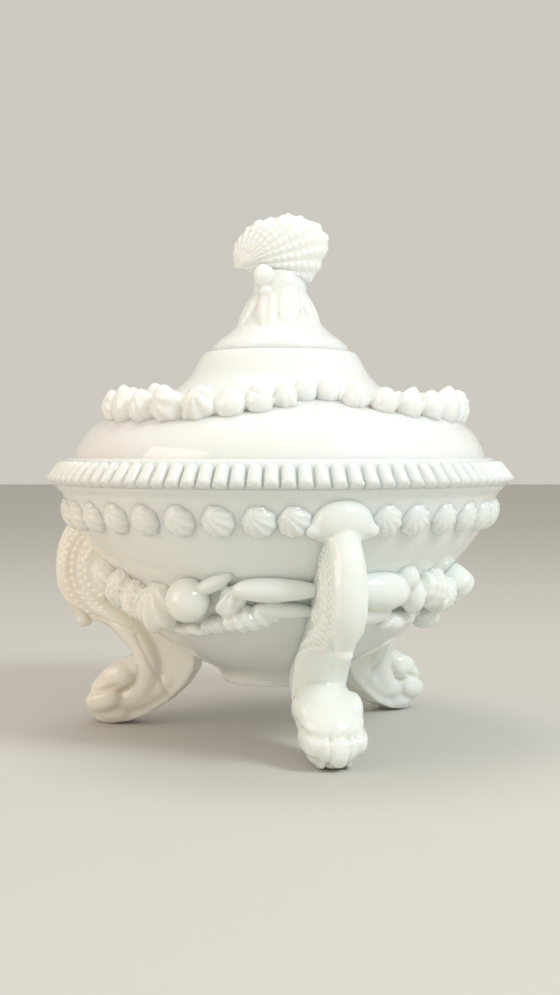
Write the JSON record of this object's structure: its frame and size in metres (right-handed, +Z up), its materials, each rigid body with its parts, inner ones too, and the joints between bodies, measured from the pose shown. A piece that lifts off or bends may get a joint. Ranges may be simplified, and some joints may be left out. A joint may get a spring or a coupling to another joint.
{
  "type": "footed covered jar",
  "caption": "Round pressed milk-glass jar on paw feet, with a beaded rim, shell garlands and a lift-off lid with a shell knob.",
  "frame": {"origin": "on the bowl's axis, in the plane of the three soles", "axes": "+Z up along the bowl's axis; the first foot stands 15 degrees from -Y towards +X, the others 120 and 240 degrees further round"},
  "size_m": [0.1465, 0.1465, 0.161],
  "materials": {
    "bowl_glass": "opaque milk glass, fire-polished gloss",
    "lid_glass": "opaque milk glass, fire-polished gloss"
  },
  "bodies": {
    "bowl": {"bowl": "bowl_glass", "rim_beads": "bowl_glass", "collar_shells": "bowl_glass", "leg_front": "bowl_glass", "leg_right": "bowl_glass", "leg_left": "bowl_glass", "garland_right": "bowl_glass", "garland_back": "bowl_glass", "garland_left": "bowl_glass"},
    "lid": {"lid": "lid_glass", "lid_swag_right": "lid_glass", "lid_swag_back": "lid_glass", "lid_swag_left": "lid_glass", "knob_stem": "lid_glass", "shell_finial": "lid_glass"}
  },
  "joints": [
    {"name": "lid_lift", "type": "slide", "parent": "bowl", "child": "lid", "axis": [0, 0, 1], "range_m": [0, 0.08]}
  ]
}
